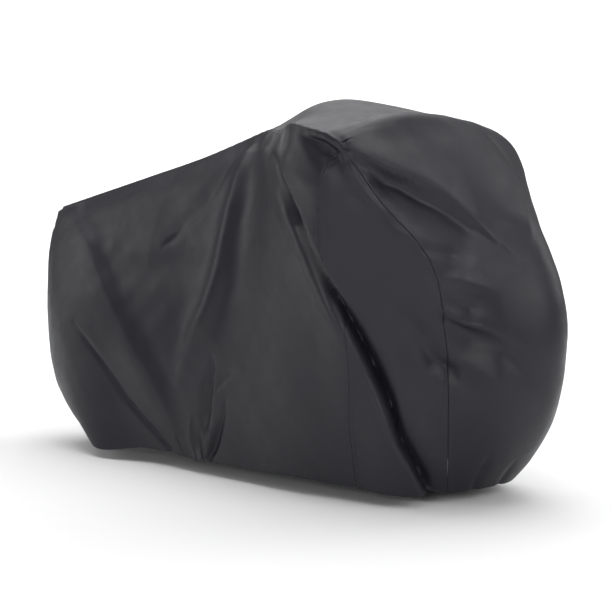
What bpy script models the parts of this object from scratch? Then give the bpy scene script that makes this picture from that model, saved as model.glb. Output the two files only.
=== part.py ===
"""Bicycle cover, as it hangs over a bicycle's handlebar, saddle and wheels.

Three sewn panels of coated cloth make one open-bottomed bag. The near panel lies against the near
side, a narrow gore runs down the near front corner, and the far panel covers the top, the front and
the far side. Each panel is one thin closed sheet that follows the draped shape and its main folds.

Axes: +X towards the front wheel, -Y the near side, +Z up, metres. The origin is the mount: the
inside of the top, where the cover rests on the handlebar.

The draped shape is a surface S(section, rail). Sections are upright lines around the cover, from
the middle of the rear end along the near side, round the front and back along the far side. Rails
are the level lines that cross them, from the hem up to the crown seam. Heights in the tables are
above the floor, and forward lengths are from the mount.
"""
import bpy
import numpy as np

# ---- driving sizes ----
HANG_HEIGHT = 0.991        # floor to the inside of the top, at the handlebar
CLOTH = 0.002              # thickness of a panel
HEM = 0.003                # thickness of the turned and stitched hem
SEAM_GAP = 0.0004          # between the edges of two sewn panels
LOW_HEIGHT = 0.18          # height of the rail just above the hem
CROWN_FADE = 0.035         # folds die out this far below the crown seam
NARROWEST = 0.026          # the narrowest fold side that these facets can carry
FOLD_REACH = 3.5           # a fold moves cloth up to this many sections away from it
FOLD_STEPS = 8             # straight legs for each gap between two stops of a fold's path

CLOTH_COLOUR = (0.050, 0.050, 0.056, 1.0)
CLOTH_ROUGHNESS = 0.55

# Crown seam, from the top of the rear end, along the ridge and over the near grip to the gore.
CROWN = np.array([
    # forward, side, height
    (-1.255, 0.000, 0.712),
    (-1.120, 0.000, 0.746),
    (-0.870, 0.000, 0.809),
    (-0.640, 0.000, 0.868),
    (-0.427, 0.000, 0.934),
    (-0.200, -0.185, 0.936),
    (0.020, -0.355, 0.944),
    (0.115, -0.362, 0.916),
    (0.135, -0.355, 0.900),
])
BROW_ROWS = (4.0, 5.5)                     # the ridge turns into the brow between these rows
RIDGE_FACING = np.array((0.0, 0.0, 1.0))   # which way the seam faces on the ridge
BROW_FACING = np.array((0.0, -0.6, 0.8))   # and on the brow over the near grip

# One row for each upright section. crown is where it meets the crown seam, counted in the rows
# above, and rise lifts the line between the top rail and the crown.
SECTION_COLUMNS = ("name", "hem", "low", "belly", "shoulder", "top", "rise", "crown")
SECTIONS = [dict(zip(SECTION_COLUMNS, row)) for row in (
    ("rear_middle", (-1.070, -0.060, 0.055), (-1.225, -0.040), (-1.300, -0.020, 0.42),
     (-1.297, -0.010, 0.600), (-1.267, 0.000, 0.690), 0.0, 0.0),
    ("rear_corner", (-0.980, -0.160, 0.072), (-1.150, -0.125), (-1.235, -0.085, 0.42),
     (-1.240, -0.055, 0.600), (-1.230, -0.022, 0.690), 0.0, 0.22),
    ("rear_wheel", (-0.910, -0.200, 0.033), (-1.030, -0.185), (-1.110, -0.150, 0.42),
     (-1.120, -0.090, 0.610), (-1.120, -0.035, 0.710), 0.0, 1.0),
    ("near_carrier", (-0.720, -0.160, 0.045), (-0.770, -0.170), (-0.820, -0.160, 0.42),
     (-0.850, -0.090, 0.650), (-0.870, -0.035, 0.770), 0.0, 2.0),
    ("near_saddle", (-0.510, -0.165, 0.040), (-0.530, -0.170), (-0.550, -0.155, 0.42),
     (-0.600, -0.090, 0.690), (-0.630, -0.035, 0.825), 0.0, 3.0),
    ("near_frame", (-0.320, -0.170, 0.044), (-0.320, -0.185), (-0.340, -0.180, 0.42),
     (-0.390, -0.120, 0.720), (-0.420, -0.045, 0.880), 0.0, 4.0),
    ("near_brow", (-0.140, -0.170, 0.047), (-0.150, -0.205), (-0.150, -0.230, 0.42),
     (-0.170, -0.240, 0.720), (-0.185, -0.215, 0.870), 0.0, 5.0),
    ("near_grip", (-0.060, -0.155, 0.041), (-0.055, -0.200), (-0.035, -0.245, 0.42),
     (-0.040, -0.305, 0.710), (-0.005, -0.350, 0.895), 0.0, 6.0),
    ("near_seam", (0.020, -0.145, 0.040), (0.035, -0.190), (0.073, -0.250, 0.42),
     (0.055, -0.338, 0.690), (0.095, -0.365, 0.870), 0.0, 7.0),
    ("gore_middle", (0.115, -0.135, 0.035), (0.150, -0.170), (0.170, -0.190, 0.42),
     (0.145, -0.300, 0.690), (0.125, -0.362, 0.865), 0.0, 7.5),
    ("front_seam", (0.203, -0.010, 0.030), (0.235, -0.055), (0.255, -0.100, 0.44),
     (0.263, -0.180, 0.630), (0.190, -0.295, 0.785), 0.0, 8.0),
    ("front_near", (0.260, 0.090, 0.035), (0.340, 0.010), (0.382, -0.020, 0.49),
     (0.290, -0.020, 0.720), (0.195, -0.050, 0.915), 0.035, 7.6),
    ("front_middle", (0.270, 0.190, 0.038), (0.390, 0.135), (0.445, 0.115, 0.505),
     (0.360, 0.120, 0.700), (0.195, 0.150, 0.915), 0.062, 6.9),
    ("front_far", (0.205, 0.270, 0.040), (0.320, 0.260), (0.360, 0.255, 0.48),
     (0.265, 0.270, 0.720), (0.158, 0.340, 0.893), 0.060, 6.3),
    ("far_grip", (0.030, 0.280, 0.040), (0.110, 0.310), (0.130, 0.325, 0.44),
     (0.110, 0.345, 0.720), (0.070, 0.365, 0.893), 0.070, 5.7),
    ("far_brow", (-0.190, 0.250, 0.040), (-0.170, 0.280), (-0.150, 0.300, 0.42),
     (-0.150, 0.300, 0.720), (-0.150, 0.270, 0.905), 0.100, 5.0),
    ("far_frame", (-0.420, 0.210, 0.040), (-0.420, 0.230), (-0.410, 0.235, 0.42),
     (-0.410, 0.180, 0.720), (-0.400, 0.070, 0.890), 0.025, 4.0),
    ("far_saddle", (-0.670, 0.170, 0.040), (-0.680, 0.185), (-0.690, 0.180, 0.42),
     (-0.690, 0.120, 0.680), (-0.690, 0.050, 0.815), 0.0, 2.8),
    ("far_carrier", (-0.890, 0.140, 0.040), (-0.950, 0.150), (-0.990, 0.140, 0.42),
     (-1.010, 0.090, 0.640), (-1.010, 0.035, 0.732), 0.0, 1.45),
    ("rear_far", (-0.990, 0.070, 0.050), (-1.140, 0.080), (-1.225, 0.060, 0.42),
     (-1.235, 0.045, 0.600), (-1.225, 0.022, 0.690), 0.0, 0.22),
)]
NEAR_SEAM = 8              # section where the near panel meets the gore
FRONT_SEAM = 10            # section where the gore meets the far panel
ROUND = len(SECTIONS)      # one whole turn, back to the middle of the rear end
CROWN_RAIL = 6             # rails: hem, low, belly, shoulder, top, deck, crown

# One row for each fold. path is (section, rail) from its start to its end, height is out of the
# cloth (a trough is negative), left and right are the widths of its two sides as seen along the
# path from outside, and start and end are the shares of the height that it has there.
FOLD_COLUMNS = ("name", "path", "height", "left", "right", "start", "end")
FOLD_STAGES = (0.0, 0.35, 0.7, 1.0)        # start, where a fold is full, until where, and end
FOLDS = [dict(zip(FOLD_COLUMNS, row)) for row in (
    ("long_pleat", ((5.2, 4.8), (5.8, 3.65), (6.8, 3.0), (7.7, 2.64), (8.45, 1.65), (9.0, 1.2),
                    (9.65, 0.05)), 0.016, 0.022, 0.052, 0.3, 0.8),
    ("long_pleat_trough", ((5.5, 4.6), (6.6, 3.35), (7.6, 2.68), (8.3, 2.0), (9.2, 1.15),
                           (9.7, 0.05)), -0.020, 0.026, 0.020, 0.3, 0.8),
    ("grip_pleat", ((6.2, 3.95), (6.9, 3.4), (7.6, 3.15), (8.2, 2.7)),
     0.007, 0.016, 0.016, 0.2, 0.4),
    ("saddle_drape", ((5.0, 5.0), (5.0, 3.6), (4.82, 2.6), (4.25, 1.85), (3.9, 1.35)),
     0.025, 0.034, 0.048, 0.2, 0.1),
    ("ridge_swag", ((2.2, 3.0), (3.0, 2.88), (3.9, 2.75)), 0.009, 0.090, 0.050, 0.3, 0.2),
    ("ridge_valley", ((4.75, 5.2), (4.55, 3.9), (4.2, 3.25), (3.7, 2.85)),
     -0.006, 0.026, 0.040, 0.4, 0.4),
    ("rear_tension", ((1.2, 5.0), (1.95, 3.55), (2.65, 2.4), (3.45, 1.1), (3.6, 0.5)),
     0.015, 0.034, 0.085, 0.4, 0.3),
    ("rear_crease", ((2.4, 1.75), (2.75, 1.3), (3.1, 0.55), (3.45, 0.05)),
     -0.010, 0.018, 0.018, 0.4, 0.8),
    ("cinch_crease", ((4.85, 1.45), (4.4, 1.35), (4.2, 0.6)), -0.014, 0.018, 0.02, 0.3, 0.6),
    ("cinch_ridge", ((4.1, 0.05), (4.35, 0.45), (4.6, 1.2)), 0.013, 0.018, 0.018, 0.9, 0.2),
    ("brow_ridge", ((5.5, 5.2), (6.1, 3.95), (7.1, 3.7), (8.0, 3.7)),
     0.012, 0.03, 0.03, 0.3, 0.2),
    ("brow_valley", ((7.3, 5.3), (8.2, 4.15), (9.2, 3.6), (9.9, 3.55)),
     -0.016, 0.030, 0.032, 0.4, 0.3),
    ("front_brow", ((10.3, 5.6), (10.4, 4.6), (10.5, 3.7), (10.8, 3.1), (11.15, 2.8)),
     0.021, 0.075, 0.024, 0.5, 0.15),
    ("front_brow_trough", ((10.2, 5.2), (10.3, 4.0), (10.5, 3.4), (10.8, 2.95)),
     -0.014, 0.02, 0.03, 0.3, 0.2),
    ("top_edge_valley", ((12.6, 5.8), (11.25, 5.6), (10.95, 4.8), (11.2, 3.9)),
     -0.008, 0.04, 0.04, 0.2, 0.2),
    ("far_grip_crease", ((12.45, 4.3), (12.2, 4.0), (12.2, 3.6)), -0.012, 0.018, 0.018, 0.6, 0.2),
    ("corner_ridge", ((12.35, 3.4), (12.2, 3.2), (11.7, 2.8)), 0.008, 0.016, 0.016, 0.3, 0.2),
    ("wheel_fold_high", ((10.05, 2.75), (10.6, 2.45), (10.95, 2.28)), 0.008, 0.018, 0.018, 0.5, 0.1),
    ("wheel_fold", ((10.05, 2.33), (10.45, 2.05), (11.0, 1.8)), 0.012, 0.02, 0.022, 0.6, 0.2),
    ("wheel_trough", ((10.05, 2.18), (10.4, 1.94), (11.0, 1.7), (11.7, 1.4)),
     -0.016, 0.025, 0.03, 0.5, 0.3),
    ("wheel_fold_low", ((10.1, 1.8), (10.75, 1.55), (11.2, 1.42)), 0.010, 0.02, 0.02, 0.5, 0.1),
    ("gore_crease", ((9.35, 2.2), (9.85, 1.8), (10.1, 1.64)), -0.012, 0.02, 0.026, 0.3, 0.7),
    ("chin_gather", ((10.6, 0.0), (10.7, 0.35), (10.9, 0.8)), -0.008, 0.016, 0.016, 1.0, 0.1),
    ("chin_gather_far", ((11.35, 0.0), (11.4, 0.3), (11.5, 0.7)), -0.008, 0.016, 0.016, 1.0, 0.1),
    ("far_pleat", ((15.9, 5.2), (14.9, 3.6), (13.9, 2.0), (13.3, 0.3)),
     0.018, 0.045, 0.022, 0.3, 0.5),
    ("far_pleat_trough", ((15.8, 4.8), (14.6, 3.5), (13.6, 2.1), (13.0, 0.3)),
     -0.014, 0.022, 0.035, 0.3, 0.5),
    ("far_drape", ((16.2, 4.4), (16.5, 2.9), (17.1, 1.4)), 0.014, 0.045, 0.025, 0.4, 0.1),
    ("far_swag", ((18.9, 3.0), (18.1, 2.8), (17.2, 2.7)), 0.014, 0.024, 0.08, 0.4, 0.3),
    ("far_tension", ((19.3, 4.6), (18.7, 2.9), (18.0, 1.6), (17.6, 0.4)),
     0.014, 0.06, 0.035, 0.5, 0.3),
)]

# How many facets each stretch between two sections, or two rails, is cut into.
NEAR_COLUMNS = (2, 3, 4, 4, 6, 7, 6, 4)
GORE_COLUMNS = (4, 4)
HEM_RAILS = (0.0, 0.17)                    # the hem is turned up this far of the first rail gap
ROWS = (3, 5, 7, 5, 2, 3)


# ---- the draped surface ----
def tangent(before, here, after):
    """Direction of a smooth curve through three neighbouring points of any spacing."""
    back = np.linalg.norm(here - before, axis=-1, keepdims=True)
    ahead = np.linalg.norm(after - here, axis=-1, keepdims=True)
    return ((here - before) / back * ahead + (after - here) / ahead * back) / (back + ahead)


def blend(start, start_tangent, end, end_tangent, share):
    """Cubic between two points, with tangents per unit of length."""
    length = np.linalg.norm(end - start, axis=-1, keepdims=True)
    square, cube = share ** 2, share ** 3
    return ((2 * cube - 3 * square + 1) * start + (cube - 2 * square + share) * start_tangent * length
            + (3 * square - 2 * cube) * end + (cube - square) * end_tangent * length)


def along_loop(points, places):
    """Points on a smooth closed curve; places count the control points."""
    first = np.floor(places).astype(int)
    share = (places - first)[:, None]
    before, start, end, after = (points[(first + step) % len(points)] for step in (-1, 0, 1, 2))
    return blend(start, tangent(before, start, end), end, tangent(start, end, after), share)


def along_line(points, places):
    """Points on smooth open curves; points is (curve, control point, xyz), one place per curve."""
    last = points.shape[1] - 1
    rows = np.arange(len(points))
    first = np.clip(np.floor(places).astype(int), 0, last - 1)
    share = (places - first)[:, None]
    start, end = points[rows, first], points[rows, first + 1]
    chord = (end - start) / np.linalg.norm(end - start, axis=-1, keepdims=True)
    before = points[rows, np.maximum(first - 1, 0)]
    after = points[rows, np.minimum(first + 2, last)]
    at_start, at_end = (first == 0)[:, None], (first == last - 1)[:, None]
    safe_before = np.where(at_start, start - chord, before)
    safe_after = np.where(at_end, end + chord, after)
    start_tangent = tangent(safe_before, start, end)
    end_tangent = tangent(start, end, safe_after)
    start_tangent = np.where(at_start, 1.5 * chord - 0.5 * end_tangent, start_tangent)
    end_tangent = np.where(at_end, 1.5 * chord - 0.5 * start_tangent, end_tangent)
    return blend(start, start_tangent, end, end_tangent, share)


def crown_place(sections):
    """Where upright sections meet the crown seam, counted in its points."""
    stops = [row["crown"] for row in SECTIONS] + [SECTIONS[0]["crown"]]
    return np.interp(sections % ROUND, np.arange(ROUND + 1), stops)


def crown_points(places):
    """Points of the crown seam."""
    return along_line(np.repeat(CROWN[None], len(places), axis=0), places)


def rails():
    """Control points of the rails below the crown, as (rail, section, xyz)."""
    decks = []
    for row in SECTIONS:
        middle = 0.5 * (np.array(row["top"]) + crown_points(np.array([row["crown"]]))[0])
        decks.append(middle + (0.0, 0.0, row["rise"]))
    lows = [row["low"] + (LOW_HEIGHT,) for row in SECTIONS]
    named = [[row[name] for row in SECTIONS] for name in ("hem", "belly", "shoulder", "top")]
    return np.array([named[0], lows, named[1], named[2], named[3], decks])


RAILS = rails()


def surface(sections, heights):
    """Points of the draped surface without its folds, at matching arrays of places."""
    level = [along_loop(rail, sections) for rail in RAILS]
    upright = np.stack(level + [crown_points(crown_place(sections))], axis=1)
    return along_line(upright, heights)


def outward(sections, heights):
    """Outward unit normals of the smooth surface."""
    step = 0.01
    down, up = np.maximum(heights - step, 0.0), np.minimum(heights + step, CROWN_RAIL - 1e-4)
    around = surface(sections + step, heights) - surface(sections - step, heights)
    upward = surface(sections, up) - surface(sections, down)
    normal = np.cross(around, upward)
    return normal / np.linalg.norm(normal, axis=-1, keepdims=True)


# ---- folds ----
def fold_height(fold, points, normals, sections):
    """How far one fold moves each point along its normal."""
    stops = np.array(fold["path"])
    steps = np.linspace(0.0, len(stops) - 1.0, FOLD_STEPS * (len(stops) - 1) + 1)
    flat = np.column_stack([stops, np.zeros(len(stops))])
    route = along_line(np.repeat(flat[None], len(steps), axis=0), steps)
    path = surface(route[:, 0], np.clip(route[:, 1], 0.0, CROWN_RAIL - 1e-4))
    start, leg = path[:-1], np.diff(path, axis=0)
    offset = points[:, None] - start[None]
    share = np.clip((offset * leg).sum(-1) / (leg ** 2).sum(-1), 0.0, 1.0)
    apart = offset - share[..., None] * leg
    reach = np.linalg.norm(apart, axis=-1)
    near = reach.argmin(axis=1)
    rows = np.arange(len(points))
    reach, apart, share = reach[rows, near], apart[rows, near], share[rows, near]
    side = (np.cross(leg[near], apart) * normals).sum(-1)
    left, right = max(fold["left"], NARROWEST), max(fold["right"], NARROWEST)
    width = np.where(side > 0, left, right)
    place = (near + share) / len(leg)
    strength = np.interp(place, FOLD_STAGES, (fold["start"], 1.0, 1.0, fold["end"]))
    turn = np.abs((sections - route[near, 0] + ROUND / 2) % ROUND - ROUND / 2)
    return fold["height"] * strength * np.exp(-(reach / width) ** 2) * (turn < FOLD_REACH)


def draped(sections, heights):
    """Points of the folded cloth and its outward directions."""
    points, normals = surface(sections, heights), outward(sections, heights)
    below_crown = np.linalg.norm(points - crown_points(crown_place(sections)), axis=-1)
    fade = np.clip(below_crown / CROWN_FADE, 0.0, 1.0) ** 2
    move = sum(fold_height(fold, points, normals, sections) for fold in FOLDS)
    return points + normals * (move * fade)[:, None], normals


# ---- panels ----
def stretch(first_section, counts):
    """Section places of a panel's columns, a count of facets for each gap between sections."""
    places = [first_section + gap + step / count for gap, count in enumerate(counts)
              for step in range(count)]
    return np.array(places + [first_section + len(counts)], dtype=float)


def row_places():
    """Rail places of every panel's rows, with one row at the top of the hem."""
    places = list(HEM_RAILS)
    for rail, count in enumerate(ROWS):
        steps = [rail + step / count for step in range(count)]
        places += [place for place in steps if place > HEM_RAILS[-1]]
    return np.array(places + [float(CROWN_RAIL)])


def far_columns(near_columns, gore_columns):
    """Section places of the far panel that meet the other panels' columns at the crown seam."""
    meets = crown_place(np.concatenate([near_columns, gore_columns[1:]]))
    stops = [row["crown"] for row in SECTIONS[FRONT_SEAM:]] + [SECTIONS[0]["crown"]]
    sections = np.arange(FRONT_SEAM, ROUND + 1.0)
    return np.interp(-meets[::-1], [-stop for stop in stops], sections)


def crown_outward(sections):
    """Directions that halve the angle between the two panels at the crown seam."""
    places = crown_place(sections)
    step = 0.02
    last = len(CROWN) - 1.0
    back, ahead = np.clip(places - step, 0.0, last), np.clip(places + step, 0.0, last)
    seam = crown_points(ahead) - crown_points(back)
    seam /= np.linalg.norm(seam, axis=-1, keepdims=True)
    on_brow = np.interp(places, BROW_ROWS, (0.0, 1.0))[:, None]
    normal = RIDGE_FACING * (1.0 - on_brow) + BROW_FACING * on_brow
    normal = normal - (normal * seam).sum(-1, keepdims=True) * seam
    return normal / np.linalg.norm(normal, axis=-1, keepdims=True)


def across(edge, normals):
    """Unit directions in the cloth, square to one of its edges."""
    sideways = np.cross(np.gradient(edge, axis=0), normals)
    return sideways / np.linalg.norm(sideways, axis=-1, keepdims=True)


def sheet_points(columns, rows):
    """Inner and outer points of a panel, each as (column, row, xyz)."""
    shape = (len(columns), len(rows))
    sections = np.repeat(columns, len(rows))
    heights = np.tile(rows, len(columns))
    points, normals = draped(sections, np.minimum(heights, CROWN_RAIL - 1e-5))
    points, normals = points.reshape(shape + (3,)), normals.reshape(shape + (3,))
    normals[:, -1] = crown_outward(columns)
    inset = np.zeros_like(points)
    inset[0] += across(points[0], normals[0])
    inset[-1] -= across(points[-1], normals[-1])
    inset[:, -1] += across(points[:, -1], normals[:, -1])
    points = points + inset * SEAM_GAP / 2
    thick = np.where(rows <= HEM_RAILS[-1], HEM, CLOTH)[None, :, None]
    return points, points + normals * thick


def sheet_mesh(name, columns, rows):
    """One closed sheet from its inner and outer points."""
    inner, outer = sheet_points(columns, rows)
    wide, tall = len(columns), len(rows)
    lift = np.array((0.0, 0.0, HANG_HEIGHT))
    verts = np.concatenate([(inner - lift).reshape(-1, 3), (outer - lift).reshape(-1, 3)])
    layer = wide * tall

    def index(column, row, side):
        return side * layer + column * tall + row

    faces = []
    for column in range(wide - 1):
        for row in range(tall - 1):
            corners = [(column, row), (column + 1, row), (column + 1, row + 1), (column, row + 1)]
            rising, falling = (np.linalg.norm(inner[corners[k]] - inner[corners[k + 2]]) for k in (0, 1))
            if falling < rising:
                corners = corners[1:] + corners[:1]
            for corner in ((0, 1, 2), (0, 2, 3)):
                faces.append([index(*corners[k], 1) for k in corner])
                faces.append([index(*corners[k], 0) for k in reversed(corner)])
    rim = [(column, 0) for column in range(wide)]
    rim += [(wide - 1, row) for row in range(1, tall)]
    rim += [(column, tall - 1) for column in range(wide - 2, -1, -1)]
    rim += [(0, row) for row in range(tall - 2, 0, -1)]
    for here, following in zip(rim, rim[1:] + rim[:1]):
        faces.append([index(*following, 1), index(*here, 1), index(*here, 0), index(*following, 0)])
    mesh = bpy.data.meshes.new(name)
    mesh.from_pydata(verts.tolist(), [], faces)
    mesh.validate()
    mesh.shade_smooth()
    return mesh


def cloth_material():
    """Satin charcoal cloth with a thin coating."""
    material = bpy.data.materials.new("coated_cloth")
    material.use_nodes = True
    shader = material.node_tree.nodes["Principled BSDF"]
    shader.inputs["Base Color"].default_value = CLOTH_COLOUR
    shader.inputs["Roughness"].default_value = CLOTH_ROUGHNESS
    shader.inputs["Metallic"].default_value = 0.0
    return material


def add_panel(name, columns, material):
    """Put one panel in the scene."""
    mesh = sheet_mesh(name, columns, row_places())
    mesh.materials.append(material)
    bpy.context.scene.collection.objects.link(bpy.data.objects.new(name, mesh))


def main():
    for old in list(bpy.data.objects):
        bpy.data.objects.remove(old, do_unlink=True)
    material = cloth_material()
    near = stretch(0, NEAR_COLUMNS)
    gore = stretch(NEAR_SEAM, GORE_COLUMNS)
    add_panel("near_side_panel", near, material)
    add_panel("front_gore", gore, material)
    add_panel("far_side_panel", far_columns(near, gore), material)


main()
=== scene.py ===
"""Looks of a bicycle cover, hung over a bicycle that is left out.

Three sewn panels of coated polyester cloth are made as thin fine sheets on the folds of the CAD
panels, with their seams, turned hem and rows of stitches. The draped shape is a surface
S(section, rail): sections are upright lines around the cover, and rails are the level lines that
cross them, from the hem up to the crown seam. Heights in the tables are above the floor, and
forward lengths are from the mount, in metres.
"""
import math

import bpy
import numpy as np
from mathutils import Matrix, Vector


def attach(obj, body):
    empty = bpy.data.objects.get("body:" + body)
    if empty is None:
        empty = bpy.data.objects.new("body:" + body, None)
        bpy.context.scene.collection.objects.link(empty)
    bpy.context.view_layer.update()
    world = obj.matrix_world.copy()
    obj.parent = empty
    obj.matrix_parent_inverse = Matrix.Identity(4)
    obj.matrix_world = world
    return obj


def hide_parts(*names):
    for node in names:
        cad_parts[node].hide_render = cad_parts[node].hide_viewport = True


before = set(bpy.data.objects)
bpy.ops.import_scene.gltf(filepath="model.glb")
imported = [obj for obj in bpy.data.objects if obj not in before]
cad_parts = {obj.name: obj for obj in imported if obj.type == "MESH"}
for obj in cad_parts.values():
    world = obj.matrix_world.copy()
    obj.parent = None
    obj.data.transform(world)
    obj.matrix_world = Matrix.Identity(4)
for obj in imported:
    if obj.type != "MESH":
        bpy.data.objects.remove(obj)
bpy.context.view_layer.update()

# ---- driving sizes ----
HANG_HEIGHT = 0.991        # floor to the inside of the top, at the handlebar
SURFACE_LIFT = 0.002       # the outer face lies this far out of the draped surface, as in the CAD
CLOTH = 0.0011             # thickness of the coated cloth, drawn stout enough to light well
HEM = 0.0024               # thickness of the turned hem
HEM_DEPTH = 0.024          # how far the hem is turned up
SEAM_GAP = 0.0004          # between the edges of two sewn panels
SEAM_LAP = 0.009           # width of the raised lap beside a seam
SEAM_EDGE = 0.0014         # height of the far panel's rolled edge at the crown seam
STITCH_OFFSET = 0.0055     # a row of stitches runs this far from its seam
STITCH_PITCH = 0.0052      # from one stitch to the next
STITCH_LENGTH = 0.0036
THREAD = 0.0010            # thickness of the sewing thread
LOW_HEIGHT = 0.18          # height of the rail just above the hem

# ---- folds ----
BLUNT = 0.11               # share of a crisp fold's width over which its edge is rounded
CROWN_FADE = 0.022         # folds die out this far below the crown seam
FOLD_REACH = 1.6           # a fold moves cloth up to this many sections beyond its ends
FOLD_STEPS = 8             # straight legs for each gap between two stops of a fold's path
FOLD_STAGES = (0.0, 0.35, 0.7, 1.0)        # start, where a fold is full, until where, and end
FOLD_WIDTHS = (0.45, 0.55)                 # shares of its width that stay, and fade with its height

# ---- slack cloth: a seeded set of slight waves ----
WAVE_SEED, WAVES = 7, 16
WAVE_LENGTHS = (0.05, 0.22)                # shortest and longest
WAVE_RISE = 0.0022                         # height of a wave, as a share of its length

# ---- a sewn seam: its groove, its raised lap and its puckers ----
GROOVE_DEPTH, GROOVE_WIDTH = 0.0009, 0.0014
LAP_RISE, LAP_EDGE = 0.0006, 0.002         # the lap's height, and the slope at its edge
PUCKER_RISE, PUCKER_PITCH = 0.0008, 0.031
PUCKER_SHIFT, PUCKER_TURNS = 1.7, 9.0      # radians: how far the pitch wanders, and how fast a metre
PUCKER_FADE, PUCKER_START = 0.014, 0.004   # they die out away from the seam, and are nil on it
ROLL_PLACE, ROLL_WIDTH = 0.0035, 0.002     # how far off the crown seam its rolled edge lies
CROWN_TURN = 0.004                         # this near, the cloth turns to face as the seam does
HEM_EDGE, HEM_RISE = 0.002, 0.0004         # the slope at the hem's top, and how far it stands out

# ---- the meshes ----
PROBE = 0.01               # step, in sections and rails, that measures how the surface runs
CROWN_PROBE = 0.02         # the same along the crown seam, in its rows
SHARP_ANGLE = math.radians(60)
# Spacing of the meshes' columns at given sections: close where folds show most.
NEAR_SPACING = ((0, 0.0072), (2, 0.0054), (4, 0.0043), (8, 0.0042))
GORE_SPACING = ((8, 0.0034), (10, 0.0038))
FAR_SPACING = ((10, 0.0042), (12, 0.0055), (13, 0.0085), (20, 0.0095))
FINE_STEPS = 40            # measuring steps for each section when columns are placed
SEAM_COLUMNS = (0.0, 0.0012, 0.0028, 0.0055, 0.0085, 0.0108)   # distances of columns from a seam
SEAM_CLEAR = 0.002         # the evenly spaced columns stay this far from the ones beside a seam
# Rows of the meshes, counted in rails: up from the hem, down from the crown seam, and the number
# in each gap between two rails.
HEM_ROWS = [0.0, 0.014, 0.05, 0.10, 0.145, 0.165, 0.185, 0.21]
CROWN_ROWS = (0.4, 0.32, 0.25, 0.19, 0.14, 0.10, 0.07, 0.045, 0.025, 0.012, 0.005, 0.0)
ROW_CLEAR = 0.02           # the evenly spaced rows start this far above the hem's
NEAR_ROWS = (20, 34, 42, 30, 9, 9)
FAR_ROWS = (18, 30, 36, 26, 22, 22)
# Rows of stitches: points along each kind, and how far short of the panel's corners each stops.
SEAM_POINTS, CROWN_POINTS, HEM_POINTS = 400, 500, 900
SEAM_ROW_ENDS = (0.03, 0.15)               # in rails, from the hem and from the crown seam
RIDGE_ROW_END, HEM_ROW_END = 0.15, 0.03    # in sections
HEM_STITCH = 0.003                         # below the top of the turned hem

# ---- studio ----
VIEW_AZIMUTH, VIEW_ELEVATION, VIEW_DISTANCE = 40.0, 6.25, 3.95
TARGET = Vector((-0.27, 0.0, 0.47 - HANG_HEIGHT))
SENSOR, LENS = 36.0, 85.9  # millimetres
FLOOR_HALF = 14.0          # half the floor's side
SWEEP_START, SWEEP_RADIUS = 5.3, 0.9       # where the floor starts to rise, and how round
SWEEP_STEPS = 12
WALL_HEIGHT, WALL_HALF = 2.5, 2.6          # and half the wall's width
WORLD_STRENGTH = 0.16
LIGHT_COLUMNS = ("name", "place", "size", "power", "aim")
LIGHTS = [dict(zip(LIGHT_COLUMNS, row)) for row in (
    ("overhead", (-0.9, 1.1, 2.9), (6.0, 6.0), 262.0, (-0.9, 1.1, 0.0)),
    ("key", (-3.9, -1.7, 0.7), (2.2, 2.0), 27.0, (-0.5, 0.0, -0.4)),
    ("rim", (1.5, 3.2, 0.6), (1.2, 1.4), 15.0, (0.2, 0.1, -0.3)),
    ("side", (3.4, 0.0, 0.9), (2.4, 1.8), 46.0, (0.2, 0.0, -0.3)),
    ("front", (1.5, -4.6, 0.4), (1.8, 1.4), 62.0, (-0.1, 0.0, -0.4)),
    ("backdrop", (-2.3, 2.5, 2.4), (3.5, 1.5), 150.0, (-4.2, 4.7, 0.1)),
)]

# Crown seam, from the top of the rear end, along the ridge and over the near grip to the gore.
CROWN = np.array([
    # forward, side, height
    (-1.255, 0.000, 0.712),
    (-1.120, 0.000, 0.746),
    (-0.870, 0.000, 0.809),
    (-0.640, 0.000, 0.868),
    (-0.427, 0.000, 0.934),
    (-0.200, -0.185, 0.936),
    (0.020, -0.355, 0.944),
    (0.115, -0.362, 0.916),
    (0.135, -0.355, 0.900),
])
BROW_ROWS = (4.0, 5.5)                     # the ridge turns into the brow between these rows
RIDGE_FACING = np.array((0.0, 0.0, 1.0))   # which way the seam faces on the ridge
BROW_FACING = np.array((0.0, -0.6, 0.8))   # and on the brow over the near grip

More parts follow.
